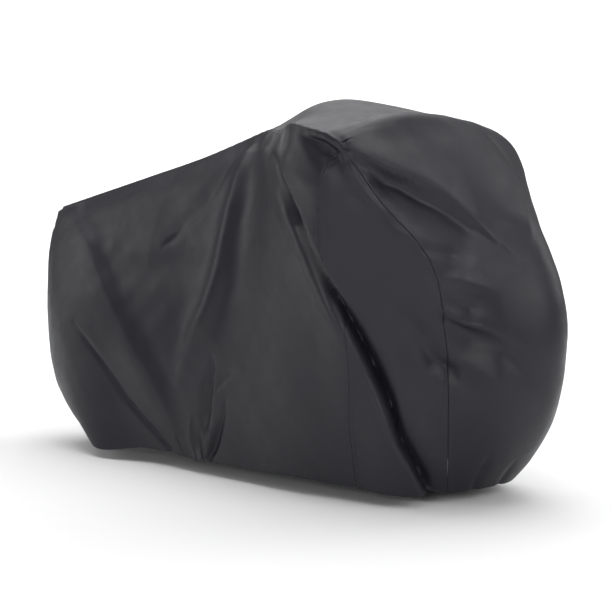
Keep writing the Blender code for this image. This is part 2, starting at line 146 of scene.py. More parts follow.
# One row for each upright section. crown is where it meets the crown seam, counted in the rows
# above, and rise lifts the line between the top rail and the crown.
SECTION_COLUMNS = ("name", "hem", "low", "belly", "shoulder", "top", "rise", "crown")
SECTIONS = [dict(zip(SECTION_COLUMNS, row)) for row in (
    ("rear_middle", (-1.070, -0.060, 0.055), (-1.225, -0.040), (-1.300, -0.020, 0.42),
     (-1.297, -0.010, 0.600), (-1.267, 0.000, 0.690), 0.0, 0.0),
    ("rear_corner", (-0.980, -0.160, 0.072), (-1.150, -0.125), (-1.235, -0.085, 0.42),
     (-1.240, -0.055, 0.600), (-1.230, -0.022, 0.690), 0.0, 0.22),
    ("rear_wheel", (-0.910, -0.200, 0.033), (-1.030, -0.185), (-1.110, -0.150, 0.42),
     (-1.120, -0.090, 0.610), (-1.120, -0.035, 0.710), 0.0, 1.0),
    ("near_carrier", (-0.720, -0.160, 0.045), (-0.770, -0.170), (-0.820, -0.160, 0.42),
     (-0.850, -0.090, 0.650), (-0.870, -0.035, 0.770), 0.0, 2.0),
    ("near_saddle", (-0.510, -0.165, 0.040), (-0.530, -0.170), (-0.550, -0.155, 0.42),
     (-0.600, -0.090, 0.690), (-0.630, -0.035, 0.825), 0.0, 3.0),
    ("near_frame", (-0.320, -0.170, 0.044), (-0.320, -0.185), (-0.340, -0.180, 0.42),
     (-0.390, -0.120, 0.720), (-0.420, -0.045, 0.880), 0.0, 4.0),
    ("near_brow", (-0.140, -0.170, 0.047), (-0.150, -0.205), (-0.150, -0.230, 0.42),
     (-0.170, -0.240, 0.720), (-0.185, -0.215, 0.870), 0.0, 5.0),
    ("near_grip", (-0.060, -0.155, 0.041), (-0.055, -0.200), (-0.035, -0.245, 0.42),
     (-0.040, -0.305, 0.710), (-0.005, -0.350, 0.895), 0.0, 6.0),
    ("near_seam", (0.020, -0.145, 0.040), (0.035, -0.190), (0.073, -0.250, 0.42),
     (0.055, -0.338, 0.690), (0.095, -0.365, 0.870), 0.0, 7.0),
    ("gore_middle", (0.115, -0.135, 0.035), (0.150, -0.170), (0.170, -0.190, 0.42),
     (0.145, -0.300, 0.690), (0.125, -0.362, 0.865), 0.0, 7.5),
    ("front_seam", (0.203, -0.010, 0.030), (0.235, -0.055), (0.255, -0.100, 0.44),
     (0.263, -0.180, 0.630), (0.190, -0.295, 0.785), 0.0, 8.0),
    ("front_near", (0.260, 0.090, 0.035), (0.340, 0.010), (0.382, -0.020, 0.49),
     (0.290, -0.020, 0.720), (0.195, -0.050, 0.915), 0.035, 7.6),
    ("front_middle", (0.270, 0.190, 0.038), (0.390, 0.135), (0.445, 0.115, 0.505),
     (0.360, 0.120, 0.700), (0.195, 0.150, 0.915), 0.062, 6.9),
    ("front_far", (0.205, 0.270, 0.040), (0.320, 0.260), (0.360, 0.255, 0.48),
     (0.265, 0.270, 0.720), (0.158, 0.340, 0.893), 0.060, 6.3),
    ("far_grip", (0.030, 0.280, 0.040), (0.110, 0.310), (0.130, 0.325, 0.44),
     (0.110, 0.345, 0.720), (0.070, 0.365, 0.893), 0.070, 5.7),
    ("far_brow", (-0.190, 0.250, 0.040), (-0.170, 0.280), (-0.150, 0.300, 0.42),
     (-0.150, 0.300, 0.720), (-0.150, 0.270, 0.905), 0.100, 5.0),
    ("far_frame", (-0.420, 0.210, 0.040), (-0.420, 0.230), (-0.410, 0.235, 0.42),
     (-0.410, 0.180, 0.720), (-0.400, 0.070, 0.890), 0.025, 4.0),
    ("far_saddle", (-0.670, 0.170, 0.040), (-0.680, 0.185), (-0.690, 0.180, 0.42),
     (-0.690, 0.120, 0.680), (-0.690, 0.050, 0.815), 0.0, 2.8),
    ("far_carrier", (-0.890, 0.140, 0.040), (-0.950, 0.150), (-0.990, 0.140, 0.42),
     (-1.010, 0.090, 0.640), (-1.010, 0.035, 0.732), 0.0, 1.45),
    ("rear_far", (-0.990, 0.070, 0.050), (-1.140, 0.080), (-1.225, 0.060, 0.42),
     (-1.235, 0.045, 0.600), (-1.225, 0.022, 0.690), 0.0, 0.22),
)]
NEAR_SEAM = 8              # section where the near panel meets the gore
FRONT_SEAM = 10            # section where the gore meets the far panel
ROUND = len(SECTIONS)      # one whole turn, back to the middle of the rear end
CROWN_RAIL = 6             # rails: hem, low, belly, shoulder, top, deck, crown
BELLY_RAIL = 2
BELOW_CROWN = CROWN_RAIL - 1e-4            # the highest place at which the surface is measured
TOP_ROW = CROWN_RAIL - 1e-5                # the place of a panel's last row

# One row for each fold. path is (section, rail) from its start to its end, height is out of the
# cloth (a trough is negative), left and right are the widths of its two sides as seen along the
# path from outside, start and end are the shares of the height that it has there, and crisp is
# low where its crest is sharp.
FOLD_COLUMNS = ("name", "path", "height", "left", "right", "start", "end", "crisp")
FOLDS = [dict(zip(FOLD_COLUMNS, row)) for row in (
    # the near side, from the ridge down
    ("pleat_top", ((5.3, 4.3), (5.8, 3.62), (6.3, 3.3), (6.75, 3.05), (7.2, 2.86)),
     0.009, 0.022, 0.045, 0.1, 0.5, 1.6),
    ("pleat", ((6.9, 3.02), (7.3, 2.84), (7.6, 2.6), (7.92, 2.2), (8.26, 1.8), (8.68, 1.35),
               (9.15, 0.75), (9.52, 0.03)), 0.011, 0.009, 0.045, 0.4, 0.8, 1.2),
    ("trough", ((5.75, 4.15), (6.15, 3.72), (6.6, 3.34), (7.07, 2.97), (7.5, 2.7), (7.93, 2.36),
                (8.25, 2.02), (8.58, 1.66), (8.98, 1.24), (9.4, 0.66), (9.72, 0.03)),
     -0.038, 0.020, 0.010, 0.15, 0.8, 1.35),
    ("second_pleat", ((6.4, 4.0), (6.9, 3.5), (7.5, 3.1), (7.95, 2.75), (8.2, 2.4)),
     0.006, 0.022, 0.014, 0.1, 0.1, 1.7),
    ("saddle_drape", ((4.95, 5.0), (4.93, 4.2), (4.9, 3.6), (4.8, 3.0), (4.66, 2.6),
                      (4.42, 2.2), (4.1, 1.85), (3.9, 1.55), (3.8, 1.35)),
     0.026, 0.040, 0.040, 0.15, 0.1, 1.7),
    ("fan_valley", ((4.75, 5.2), (4.55, 3.9), (4.19, 3.27), (3.72, 2.86)),
     -0.005, 0.016, 0.040, 0.4, 0.4, 1.6),
    ("ridge_swag", ((2.2, 3.0), (3.0, 2.88), (3.9, 2.75)), 0.009, 0.090, 0.050, 0.2, 0.2, 2.0),
    ("swag_nick", ((3.55, 2.78), (3.68, 2.84), (3.8, 2.9)), -0.004, 0.006, 0.008, 0.3, 0.3, 1.4),
    ("rear_tension", ((1.2, 5.0), (1.95, 3.53), (2.33, 2.96), (2.67, 2.4), (2.97, 1.89),
                      (3.45, 1.11), (3.6, 0.5)), 0.015, 0.034, 0.085, 0.4, 0.3, 1.9),
    ("rear_crease", ((2.3, 1.85), (2.62, 1.49), (2.85, 1.09), (3.11, 0.56), (3.43, 0.05)),
     -0.008, 0.008, 0.006, 0.4, 0.9, 1.3),
    ("cinch_crease", ((4.42, 1.6), (4.32, 1.3), (4.24, 0.95), (4.19, 0.6)),
     -0.017, 0.010, 0.013, 0.3, 0.3, 1.4),
    ("cinch_top", ((4.85, 1.5), (4.65, 1.42), (4.45, 1.28)), -0.006, 0.008, 0.010, 0.3, 0.6, 1.4),
    ("cinch_valley", ((4.62, 1.15), (4.45, 0.7), (4.3, 0.3), (4.15, 0.05)),
     -0.014, 0.012, 0.009, 0.2, 1.0, 1.4),
    ("cinch_ridge", ((4.1, 0.0), (4.24, 0.35), (4.4, 0.85)), 0.010, 0.008, 0.010, 1.0, 0.1, 1.4),
    ("cinch_left", ((3.96, 0.0), (3.9, 0.35), (3.95, 0.9)), 0.006, 0.009, 0.010, 1.0, 0.1, 1.4),
    ("cinch_nick", ((4.03, 0.0), (4.02, 0.3), (4.06, 0.6)), -0.006, 0.007, 0.007, 1.0, 0.1, 1.4),
    # under the near grip
    ("brow_ridge", ((6.2, 4.2), (6.6, 3.9), (7.11, 3.70), (7.97, 3.68)),
     0.006, 0.024, 0.035, 0.1, 0.2, 1.8),
    ("brow_valley", ((7.3, 5.3), (8.21, 4.16), (9.01, 3.91), (9.20, 3.57), (9.90, 3.55)),
     -0.014, 0.024, 0.028, 0.4, 0.3, 1.8),
    ("under_brow", ((7.1, 5.4), (7.6, 5.3), (8.1, 5.2), (8.7, 5.1), (9.3, 4.9)),
     -0.018, 0.034, 0.034, 0.2, 0.2, 2.0),
    # the front
    ("front_brow", ((10.3, 5.63), (10.33, 5.2), (10.4, 4.3), (10.5, 3.75),
                    (10.8, 3.12), (11.2, 2.75)), 0.026, 0.075, 0.009, 0.5, 0.15, 1.2),
    ("front_brow_trough", ((10.27, 5.0), (10.3, 4.6), (10.35, 4.1), (10.47, 3.55), (10.8, 2.98)),
     -0.016, 0.010, 0.034, 0.3, 0.2, 1.5),
    ("brow_streak", ((10.25, 4.2), (10.38, 3.65), (10.68, 3.11)),
     0.004, 0.010, 0.014, 0.3, 0.3, 1.6),
    ("seam_valley", ((10.05, 3.19), (10.29, 2.99), (10.5, 2.8)),
     -0.005, 0.012, 0.014, 0.8, 0.2, 1.6),
    ("top_edge_valley", ((13.2, 5.87), (11.25, 5.66), (10.79, 5.01), (11.09, 4.29), (11.2, 3.6)),
     -0.004, 0.045, 0.045, 0.2, 0.2, 1.8),
    ("far_grip_crease", ((12.42, 4.45), (12.22, 4.01), (12.22, 3.6)),
     -0.003, 0.012, 0.012, 0.6, 0.2, 1.4),
    ("corner_ridge", ((12.34, 3.6), (12.15, 3.3), (11.9, 3.0), (11.7, 2.7)),
     0.003, 0.012, 0.014, 0.2, 0.2, 1.6),
    ("wheel_fold_high", ((10.05, 2.75), (10.31, 2.64), (10.59, 2.46), (10.9, 2.3)),
     0.006, 0.014, 0.018, 0.5, 0.1, 1.6),
    ("wheel_valley_high", ((10.06, 2.44), (10.32, 2.31), (10.6, 2.16)),
     -0.006, 0.010, 0.014, 0.6, 0.1, 1.6),
    ("wheel_fold", ((10.04, 2.33), (10.23, 2.17), (10.43, 2.05), (10.63, 1.98), (10.99, 1.8)),
     0.012, 0.012, 0.016, 0.6, 0.2, 1.4),
    ("wheel_trough", ((10.07, 2.18), (10.41, 1.94), (11.0, 1.71), (11.66, 1.39)),
     -0.014, 0.024, 0.030, 0.5, 0.1, 1.7),
    ("wheel_fold_low", ((10.08, 1.8), (10.45, 1.67), (10.74, 1.56), (11.15, 1.42)),
     0.005, 0.016, 0.024, 0.5, 0.1, 1.7),
    ("gore_crease", ((9.55, 1.95), (9.8, 1.76), (9.99, 1.68), (10.12, 1.62)),
     -0.010, 0.014, 0.018, 0.2, 0.5, 1.5),
    ("gore_valley", ((9.3, 2.3), (9.5, 2.05), (9.8, 1.8), (9.98, 1.66)),
     -0.012, 0.026, 0.030, 0.2, 0.6, 1.8),
    ("gore_low", ((9.95, 1.6), (9.75, 1.1), (9.7, 0.6)), -0.006, 0.030, 0.030, 0.5, 0.2, 2.0),
    ("chin_gather", ((10.6, 0.0), (10.7, 0.35), (10.9, 0.8)), -0.005, 0.010, 0.012, 1.0, 0.1, 1.5),
    ("chin_gather_far", ((11.35, 0.0), (11.4, 0.25), (11.5, 0.6)),
     -0.004, 0.009, 0.011, 1.0, 0.1, 1.5),
    # the far side, which carries a plainer set of the same kinds
    ("far_pleat", ((15.9, 5.2), (14.9, 3.6), (13.9, 2.0), (13.3, 0.3)),
     0.018, 0.045, 0.018, 0.3, 0.5, 1.4),
    ("far_pleat_trough", ((15.8, 4.8), (14.6, 3.5), (13.6, 2.1), (13.0, 0.3)),
     -0.014, 0.018, 0.030, 0.3, 0.5, 1.5),
    ("far_drape", ((16.2, 4.4), (16.5, 2.9), (17.1, 1.4)), 0.014, 0.045, 0.022, 0.4, 0.1, 1.7),
    ("far_swag", ((18.9, 3.0), (18.1, 2.8), (17.2, 2.7)), 0.012, 0.022, 0.080, 0.4, 0.3, 1.8),
    ("far_tension", ((19.3, 4.6), (18.7, 2.9), (18.0, 1.6), (17.6, 0.4)),
     0.014, 0.06, 0.030, 0.5, 0.3, 1.7),
)]


# ---- the draped surface ----
def unit(vectors):
    """The same directions, each of length 1."""
    return vectors / np.linalg.norm(vectors, axis=-1, keepdims=True)


def tangent(before, here, after):
    """Direction of a smooth curve through three neighbouring points of any spacing."""
    back = np.linalg.norm(here - before, axis=-1, keepdims=True)
    ahead = np.linalg.norm(after - here, axis=-1, keepdims=True)
    return ((here - before) / back * ahead + (after - here) / ahead * back) / (back + ahead)


def blend(start, start_tangent, end, end_tangent, share):
    """Cubic between two points, with tangents per unit of length."""
    length = np.linalg.norm(end - start, axis=-1, keepdims=True)
    square, cube = share ** 2, share ** 3
    return ((2 * cube - 3 * square + 1) * start + (cube - 2 * square + share) * start_tangent * length
            + (3 * square - 2 * cube) * end + (cube - square) * end_tangent * length)


def along_loop(points, places):
    """Points on a smooth closed curve; places count the control points."""
    first = np.floor(places).astype(int)
    share = (places - first)[:, None]
    before, start, end, after = (points[(first + step) % len(points)] for step in (-1, 0, 1, 2))
    return blend(start, tangent(before, start, end), end, tangent(start, end, after), share)


def along_line(points, places):
    """Points on smooth open curves; points is (curve, control point, xyz), one place per curve."""
    last = points.shape[1] - 1
    rows = np.arange(len(points))
    first = np.clip(np.floor(places).astype(int), 0, last - 1)
    share = (places - first)[:, None]
    start, end = points[rows, first], points[rows, first + 1]
    chord = (end - start) / np.linalg.norm(end - start, axis=-1, keepdims=True)
    before = points[rows, np.maximum(first - 1, 0)]
    after = points[rows, np.minimum(first + 2, last)]
    at_start, at_end = (first == 0)[:, None], (first == last - 1)[:, None]
    safe_before = np.where(at_start, start - chord, before)
    safe_after = np.where(at_end, end + chord, after)
    start_tangent = tangent(safe_before, start, end)
    end_tangent = tangent(start, end, safe_after)
    start_tangent = np.where(at_start, 1.5 * chord - 0.5 * end_tangent, start_tangent)
    end_tangent = np.where(at_end, 1.5 * chord - 0.5 * start_tangent, end_tangent)
    return blend(start, start_tangent, end, end_tangent, share)


def crown_place(sections):
    """Where upright sections meet the crown seam, counted in its points."""
    stops = [row["crown"] for row in SECTIONS] + [SECTIONS[0]["crown"]]
    return np.interp(sections % ROUND, np.arange(ROUND + 1), stops)


def crown_points(places):
    """Points of the crown seam."""
    return along_line(np.repeat(CROWN[None], len(places), axis=0), places)


def rails():
    """Control points of the rails below the crown, as (rail, section, xyz)."""
    decks = []
    for row in SECTIONS:
        middle = 0.5 * (np.array(row["top"]) + crown_points(np.array([row["crown"]]))[0])
        decks.append(middle + (0.0, 0.0, row["rise"]))
    lows = [row["low"] + (LOW_HEIGHT,) for row in SECTIONS]
    named = [[row[name] for row in SECTIONS] for name in ("hem", "belly", "shoulder", "top")]
    return np.array([named[0], lows, named[1], named[2], named[3], decks])


RAILS = rails()


def surface(sections, heights):
    """Points of the draped surface without its folds, at matching arrays of places."""
    level = [along_loop(rail, sections) for rail in RAILS]
    upright = np.stack(level + [crown_points(crown_place(sections))], axis=1)
    return along_line(upright, heights)


def runs(sections, heights):
    """How far the smooth surface runs around and upward over a small step, and the step upward."""
    down, up = np.maximum(heights - PROBE, 0.0), np.minimum(heights + PROBE, BELOW_CROWN)
    around = surface(sections + PROBE, heights) - surface(sections - PROBE, heights)
    upward = surface(sections, up) - surface(sections, down)
    return around, upward, up - down


def outward(sections, heights):
    """Outward unit normals of the smooth surface."""
    around, upward, _ = runs(sections, heights)
    return unit(np.cross(around, upward))


def scales(sections, heights):
    """Metres per section and per rail at each place."""
    around, upward, rise = runs(sections, heights)
    return np.linalg.norm(around, axis=-1) / (2 * PROBE), np.linalg.norm(upward, axis=-1) / rise


def crown_outward(sections):
    """Directions that halve the angle between the two panels at the crown seam."""
    places = crown_place(sections)
    last = float(len(CROWN) - 1)
    ahead = crown_points(np.clip(places + CROWN_PROBE, 0.0, last))
    seam = unit(ahead - crown_points(np.clip(places - CROWN_PROBE, 0.0, last)))
    first, full = BROW_ROWS
    on_brow = np.clip((places - first) / (full - first), 0.0, 1.0)[:, None]
    normal = RIDGE_FACING * (1.0 - on_brow) + BROW_FACING * on_brow
    return unit(normal - (normal * seam).sum(-1, keepdims=True) * seam)


# ---- folds and seams ----
def fold_height(fold, points, normals, sections):
    """How far one fold moves each point along its normal."""
    stops = np.array(fold["path"])
    steps = np.linspace(0.0, len(stops) - 1.0, FOLD_STEPS * (len(stops) - 1) + 1)
    flat = np.column_stack([stops, np.zeros(len(stops))])
    route = along_line(np.repeat(flat[None], len(steps), axis=0), steps)
    path = surface(route[:, 0], np.clip(route[:, 1], 0.0, BELOW_CROWN))
    middle = route[:, 0].mean()
    turn = np.abs((sections - middle + ROUND / 2) % ROUND - ROUND / 2)
    chosen = np.flatnonzero(turn < 0.5 * np.ptp(route[:, 0]) + FOLD_REACH)
    start, leg = path[:-1], np.diff(path, axis=0)
    offset = points[chosen, None] - start[None]
    share = np.clip((offset * leg).sum(-1) / (leg ** 2).sum(-1), 0.0, 1.0)
    apart = offset - share[..., None] * leg
    reach = np.linalg.norm(apart, axis=-1)
    near = reach.argmin(axis=1)
    rows = np.arange(len(chosen))
    reach, apart, share = reach[rows, near], apart[rows, near], share[rows, near]
    side = (np.cross(leg[near], apart) * normals[chosen]).sum(-1)
    place = (near + share) / len(leg)
    strength = np.interp(place, FOLD_STAGES, (fold["start"], 1.0, 1.0, fold["end"]))
    stays, fades = FOLD_WIDTHS
    width = np.where(side > 0, fold["left"], fold["right"]) * (stays + fades * strength)
    apart = np.hypot(reach / width, BLUNT) - BLUNT
    move = np.zeros(len(points))
    move[chosen] = fold["height"] * strength * np.exp(-apart ** fold["crisp"])
    return move


def unevenness(points):
    """Slight waviness of slack cloth, under half a millimetre for each wave."""
    draw = np.random.default_rng(WAVE_SEED)
    waves = np.zeros(len(points))
    for _ in range(WAVES):
        direction = draw.normal(size=3)
        direction /= np.linalg.norm(direction)
        length = draw.uniform(*WAVE_LENGTHS)
        phase = draw.uniform(0.0, 2 * math.pi)
        waves += WAVE_RISE * length * np.sin(points @ direction * 2 * math.pi / length + phase)
    return waves


def seam_relief(distance, run, lapped):
    """Groove on a seam line, the raised lap beside it, and the puckers that the stitches pull."""
    groove = -GROOVE_DEPTH * np.exp(-(distance / GROOVE_WIDTH) ** 2)
    lap = LAP_RISE * np.clip((SEAM_LAP + LAP_EDGE - distance) / LAP_EDGE, 0.0, 1.0) * lapped
    wander = PUCKER_SHIFT * np.sin(run * PUCKER_TURNS)
    pucker = PUCKER_RISE * np.sin(run * 2 * math.pi / PUCKER_PITCH + wander)
    start = np.clip(distance / PUCKER_START, 0.0, 1.0)
    return groove + lap + pucker * np.exp(-distance / PUCKER_FADE) * start


def draped(sections, heights):
    """Points on the outer face of the folded cloth."""
    points, normals = surface(sections, heights), outward(sections, heights)
    crown = crown_points(crown_place(sections))
    below_crown = np.linalg.norm(points - crown, axis=-1)
    fade = np.clip(below_crown / CROWN_FADE, 0.0, 1.0) ** 2
    move = sum(fold_height(fold, points, normals, sections) for fold in FOLDS)
    move = (move + unevenness(points)) * fade
    around, _ = scales(sections, heights)
    for seam in (0, NEAR_SEAM, FRONT_SEAM, ROUND):
        apart = (sections - seam) * around
        lapped = (apart > 0).astype(float)
        move = move + seam_relief(np.abs(apart), points[:, 2], lapped) * fade
    on_far = (sections > FRONT_SEAM).astype(float)
    move = move + seam_relief(below_crown, points[:, 0], on_far)
    move = move + SEAM_EDGE * np.exp(-((below_crown - ROLL_PLACE) / ROLL_WIDTH) ** 2) * on_far
    own = np.clip(below_crown / CROWN_TURN, 0.0, 1.0)[:, None]
    normals = unit(normals * own + crown_outward(sections) * (1.0 - own))
    return points + normals * (move + SURFACE_LIFT)[:, None]


# ---- panels ----
def column_places(first, last, spacings):
    """Section places between two sections, from (section, spacing) stops, closer at the seams."""
    fine = np.linspace(first, last, FINE_STEPS * (last - first) + 1)
    line = surface(fine, np.full(len(fine), float(BELLY_RAIL)))
    steps = np.linalg.norm(np.diff(line, axis=0), axis=-1)
    run = np.concatenate([[0.0], np.cumsum(steps)])
    stops, widths = np.array(spacings).T
    cells = np.cumsum(np.concatenate([[0.0], steps / np.interp(fine[1:], stops, widths)]))
    beside = np.array(SEAM_COLUMNS)
    inner = np.interp(np.linspace(0.0, cells[-1], math.ceil(cells[-1])), cells, run)
    clear = beside[-1] + SEAM_CLEAR
    inner = inner[(inner > clear) & (inner < run[-1] - clear)]
    return np.interp(np.concatenate([beside, inner, run[-1] - beside[::-1]]), run, fine)


def row_places(counts):
    """Rail places of a panel's rows, closer at the hem and at the crown seam."""
    places = []
    for rail, count in enumerate(counts):
        places += [rail + step / count for step in range(count)]
    crown = [CROWN_RAIL - back for back in CROWN_ROWS]
    middle = [place for place in places if HEM_ROWS[-1] + ROW_CLEAR < place < crown[0]]
    return np.array(HEM_ROWS + middle + crown)


def across(edge, normals):
    """Unit directions in the cloth, square to one of its edges."""
    return unit(np.cross(np.gradient(edge, axis=0), normals))


def panel_grid(columns, rows):
    """Outer and inner points of a panel, each as (column, row, xyz), and its size along both."""
    shape = (len(columns), len(rows))
    sections = np.repeat(columns, len(rows))
    heights = np.tile(np.minimum(rows, TOP_ROW), len(columns))
    outer = draped(sections, heights).reshape(shape + (3,))
    normals = unit(np.cross(np.gradient(outer, axis=0), np.gradient(outer, axis=1)))
    rough = outward(sections, heights).reshape(shape + (3,))
    rough[:, -1] = crown_outward(columns)
    normals[0], normals[-1], normals[:, -1] = rough[0], rough[-1], rough[:, -1]
    inset = np.zeros_like(outer)
    inset[0] += across(outer[0], normals[0])
    inset[-1] -= across(outer[-1], normals[-1])
    inset[:, -1] += across(outer[:, -1], normals[:, -1])
    outer = outer + inset * SEAM_GAP / 2
    lengths = np.linalg.norm(np.diff(outer, axis=1), axis=-1)
    up = np.concatenate([np.zeros((shape[0], 1)), np.cumsum(lengths, axis=1)], axis=1)
    turned = np.clip((HEM_DEPTH + HEM_EDGE / 2 - up) / HEM_EDGE, 0.0, 1.0)[..., None]
    inner = outer - normals * (CLOTH + (HEM - CLOTH) * turned)
    outer = outer + normals * HEM_RISE * turned
    low_row = len(rows) // 3
    widths = np.linalg.norm(np.diff(outer[:, low_row], axis=0), axis=-1)
    wide = np.concatenate([[0.0], np.cumsum(widths)])
    return outer, inner, wide, up


def panel_object(name, columns, rows, material):
    """One closed thin sheet, with its own length and height as its UV map, in metres."""
    outer, inner, wide, up = panel_grid(columns, rows)
    count = len(columns) * len(rows)
    lift = np.array((0.0, 0.0, HANG_HEIGHT))
    verts = np.concatenate([outer.reshape(-1, 3), inner.reshape(-1, 3)]) - lift
    grid = np.arange(count).reshape(len(columns), len(rows))
    a, b, c, d = grid[:-1, :-1], grid[1:, :-1], grid[1:, 1:], grid[:-1, 1:]
    front = np.stack([a, b, c, d], axis=-1).reshape(-1, 4)
    back = front[:, ::-1] + count
    rim = np.concatenate([grid[:, 0], grid[-1, 1:], grid[-2::-1, -1], grid[0, -2:0:-1]])
    ahead = np.roll(rim, -1)
    edge = np.stack([ahead, rim, rim + count, ahead + count], axis=-1)
    faces = np.concatenate([front, back, edge])
    mesh = bpy.data.meshes.new(name)
    mesh.from_pydata(verts.tolist(), [], faces.tolist())
    uv_points = np.stack([np.repeat(wide, len(rows)), up.reshape(-1)], axis=-1)
    uv_points = np.concatenate([uv_points, uv_points])
    layer = mesh.uv_layers.new(name="cloth")
    layer.data.foreach_set("uv", uv_points[faces.reshape(-1)].astype(np.float32).reshape(-1))
    mesh.materials.append(material)
    mesh.shade_smooth()
    mesh.set_sharp_from_angle(angle=SHARP_ANGLE)
    mesh.validate()
    panel = bpy.data.objects.new(name, mesh)
    bpy.context.scene.collection.objects.link(panel)
    return panel


# ---- nodes ----
def add_node(tree, kind, settings=None, **inputs):
    """One node with its settings, its values and its links. Names use _ for a space."""
    node = tree.nodes.new(kind)
    for name, value in (settings or {}).items():
        setattr(node, name, value)
    for name, value in inputs.items():
        key = int(name[1:]) if name[0] == "i" and name[1:].isdigit() else name.replace("_", " ")
        if isinstance(value, bpy.types.NodeSocket):
            tree.links.new(value, node.inputs[key])
        else:
            node.inputs[key].default_value = value
    return node


def colour(text):
    """Linear colour of an sRGB hex value."""
    parts = [int(text[k:k + 2], 16) / 255 for k in (1, 3, 5)]
    return [v / 12.92 if v <= 0.04045 else ((v + 0.055) / 1.055) ** 2.4 for v in parts] + [1.0]


def coated_polyester():
    """Charcoal polyester oxford with a polyurethane coating. The coating gives a broad satin
    sheen on every fold, and the plain weave under it breaks the sheen up a little."""
    material = bpy.data.materials.new("coated_polyester_oxford")
    material.use_nodes = True
    tree = material.node_tree
    shader = tree.nodes["Principled BSDF"]
    shader.inputs["Specular IOR Level"].default_value = 0.45
    shader.inputs["IOR"].default_value = 1.48
    uv = add_node(tree, "ShaderNodeUVMap", {"uv_map": "cloth"})
    place = add_node(tree, "ShaderNodeTexCoord")
    split = add_node(tree, "ShaderNodeSeparateXYZ", Vector=uv.outputs["UV"])
    threads = []
    for axis in ("X", "Y"):
        # threads 0.45 mm apart are too fine to show, so the weave is drawn at 1.5 mm
        turns = add_node(tree, "ShaderNodeMath", {"operation": "MULTIPLY"},
                         i0=split.outputs[axis], i1=2 * math.pi / 0.0015)
        threads.append(add_node(tree, "ShaderNodeMath", {"operation": "SINE"}, i0=turns.outputs[0]))
    weave = add_node(tree, "ShaderNodeMath", {"operation": "MULTIPLY"},
                     i0=threads[0].outputs[0], i1=threads[1].outputs[0])
    crinkle = add_node(tree, "ShaderNodeTexNoise", Vector=place.outputs["Object"], Scale=38.0,
                       Detail=4.0, Roughness=0.55)
    cloud = add_node(tree, "ShaderNodeTexNoise", Vector=place.outputs["Object"], Scale=5.0,
                     Detail=2.0, Roughness=0.5)
    shade = add_node(tree, "ShaderNodeMix", {"data_type": "RGBA"}, i0=cloud.outputs["Fac"],
                     i6=colour("#13131b"), i7=colour("#171720"))
    tree.links.new(shade.outputs[2], shader.inputs["Base Color"])
    gloss = add_node(tree, "ShaderNodeMapRange", Value=crinkle.outputs["Fac"], From_Min=0.3,
                     From_Max=0.7, To_Min=0.42, To_Max=0.50)
    tree.links.new(gloss.outputs[0], shader.inputs["Roughness"])
    soft = add_node(tree, "ShaderNodeBump", Strength=0.35, Distance=0.0008,
                    Height=crinkle.outputs["Fac"])
    fine = add_node(tree, "ShaderNodeBump", Strength=0.25, Distance=0.00012,
                    Height=weave.outputs[0], Normal=soft.outputs[0])
    tree.links.new(fine.outputs[0], shader.inputs["Normal"])
    return material


def sewing_thread():
    """Spun polyester sewing thread: matt, a shade lighter than the cloth, with a twist."""
    material = bpy.data.materials.new("spun_polyester_thread")
    material.use_nodes = True
    tree = material.node_tree
    shader = tree.nodes["Principled BSDF"]
    shader.inputs["Base Color"].default_value = colour("#2e2e31")
    shader.inputs["Roughness"].default_value = 0.75
    place = add_node(tree, "ShaderNodeTexCoord")
    # the twist of a 1 mm thread turns about every 0.8 mm
    twist = add_node(tree, "ShaderNodeTexWave", {"bands_direction": "DIAGONAL"},
                     Vector=place.outputs["Object"], Scale=400.0)
    bump = add_node(tree, "ShaderNodeBump", Strength=0.4, Distance=0.0002,
                    Height=twist.outputs["Fac"])
    tree.links.new(bump.outputs[0], shader.inputs["Normal"])
    return material


# ---- stitches ----
def stitch_tree():
    """Geometry Nodes that set stitches end to end along a line of edges."""
    tree = bpy.data.node_groups.new("lockstitch_row", "GeometryNodeTree")
    inputs = {}
    for name, kind in (("Line", "NodeSocketGeometry"), ("Pitch", "NodeSocketFloat"),
                       ("Stitch Length", "NodeSocketFloat"), ("Thread", "NodeSocketFloat"),
                       ("Material", "NodeSocketMaterial")):
        inputs[name] = tree.interface.new_socket(name, in_out="INPUT", socket_type=kind)
    tree.interface.new_socket("Stitches", in_out="OUTPUT", socket_type="NodeSocketGeometry")
    given = add_node(tree, "NodeGroupInput").outputs
    curve = add_node(tree, "GeometryNodeMeshToCurve", Mesh=given["Line"])
    evened = add_node(tree, "GeometryNodeResampleCurve", {"mode": "LENGTH"},
                      Curve=curve.outputs[0], Length=given["Pitch"])
    tangent_in = add_node(tree, "GeometryNodeInputTangent")
    turned = add_node(tree, "FunctionNodeAlignRotationToVector", {"axis": "X"},
                      Vector=tangent_in.outputs[0])
    bead = add_node(tree, "GeometryNodeMeshUVSphere", Segments=6, Rings=4, Radius=0.5)
    size = add_node(tree, "ShaderNodeCombineXYZ", X=given["Stitch Length"], Y=given["Thread"],
                    Z=given["Thread"])
    placed = add_node(tree, "GeometryNodeInstanceOnPoints", Points=evened.outputs[0],
                      Instance=bead.outputs[0], Rotation=turned.outputs[0], Scale=size.outputs[0])
    real = add_node(tree, "GeometryNodeRealizeInstances", Geometry=placed.outputs[0])
    smooth = add_node(tree, "GeometryNodeSetShadeSmooth", Geometry=real.outputs[0])
    painted = add_node(tree, "GeometryNodeSetMaterial", Geometry=smooth.outputs[0],
                       Material=given["Material"])
    add_node(tree, "NodeGroupOutput", Stitches=painted.outputs[0])
    return tree, {name: socket.identifier for name, socket in inputs.items()}


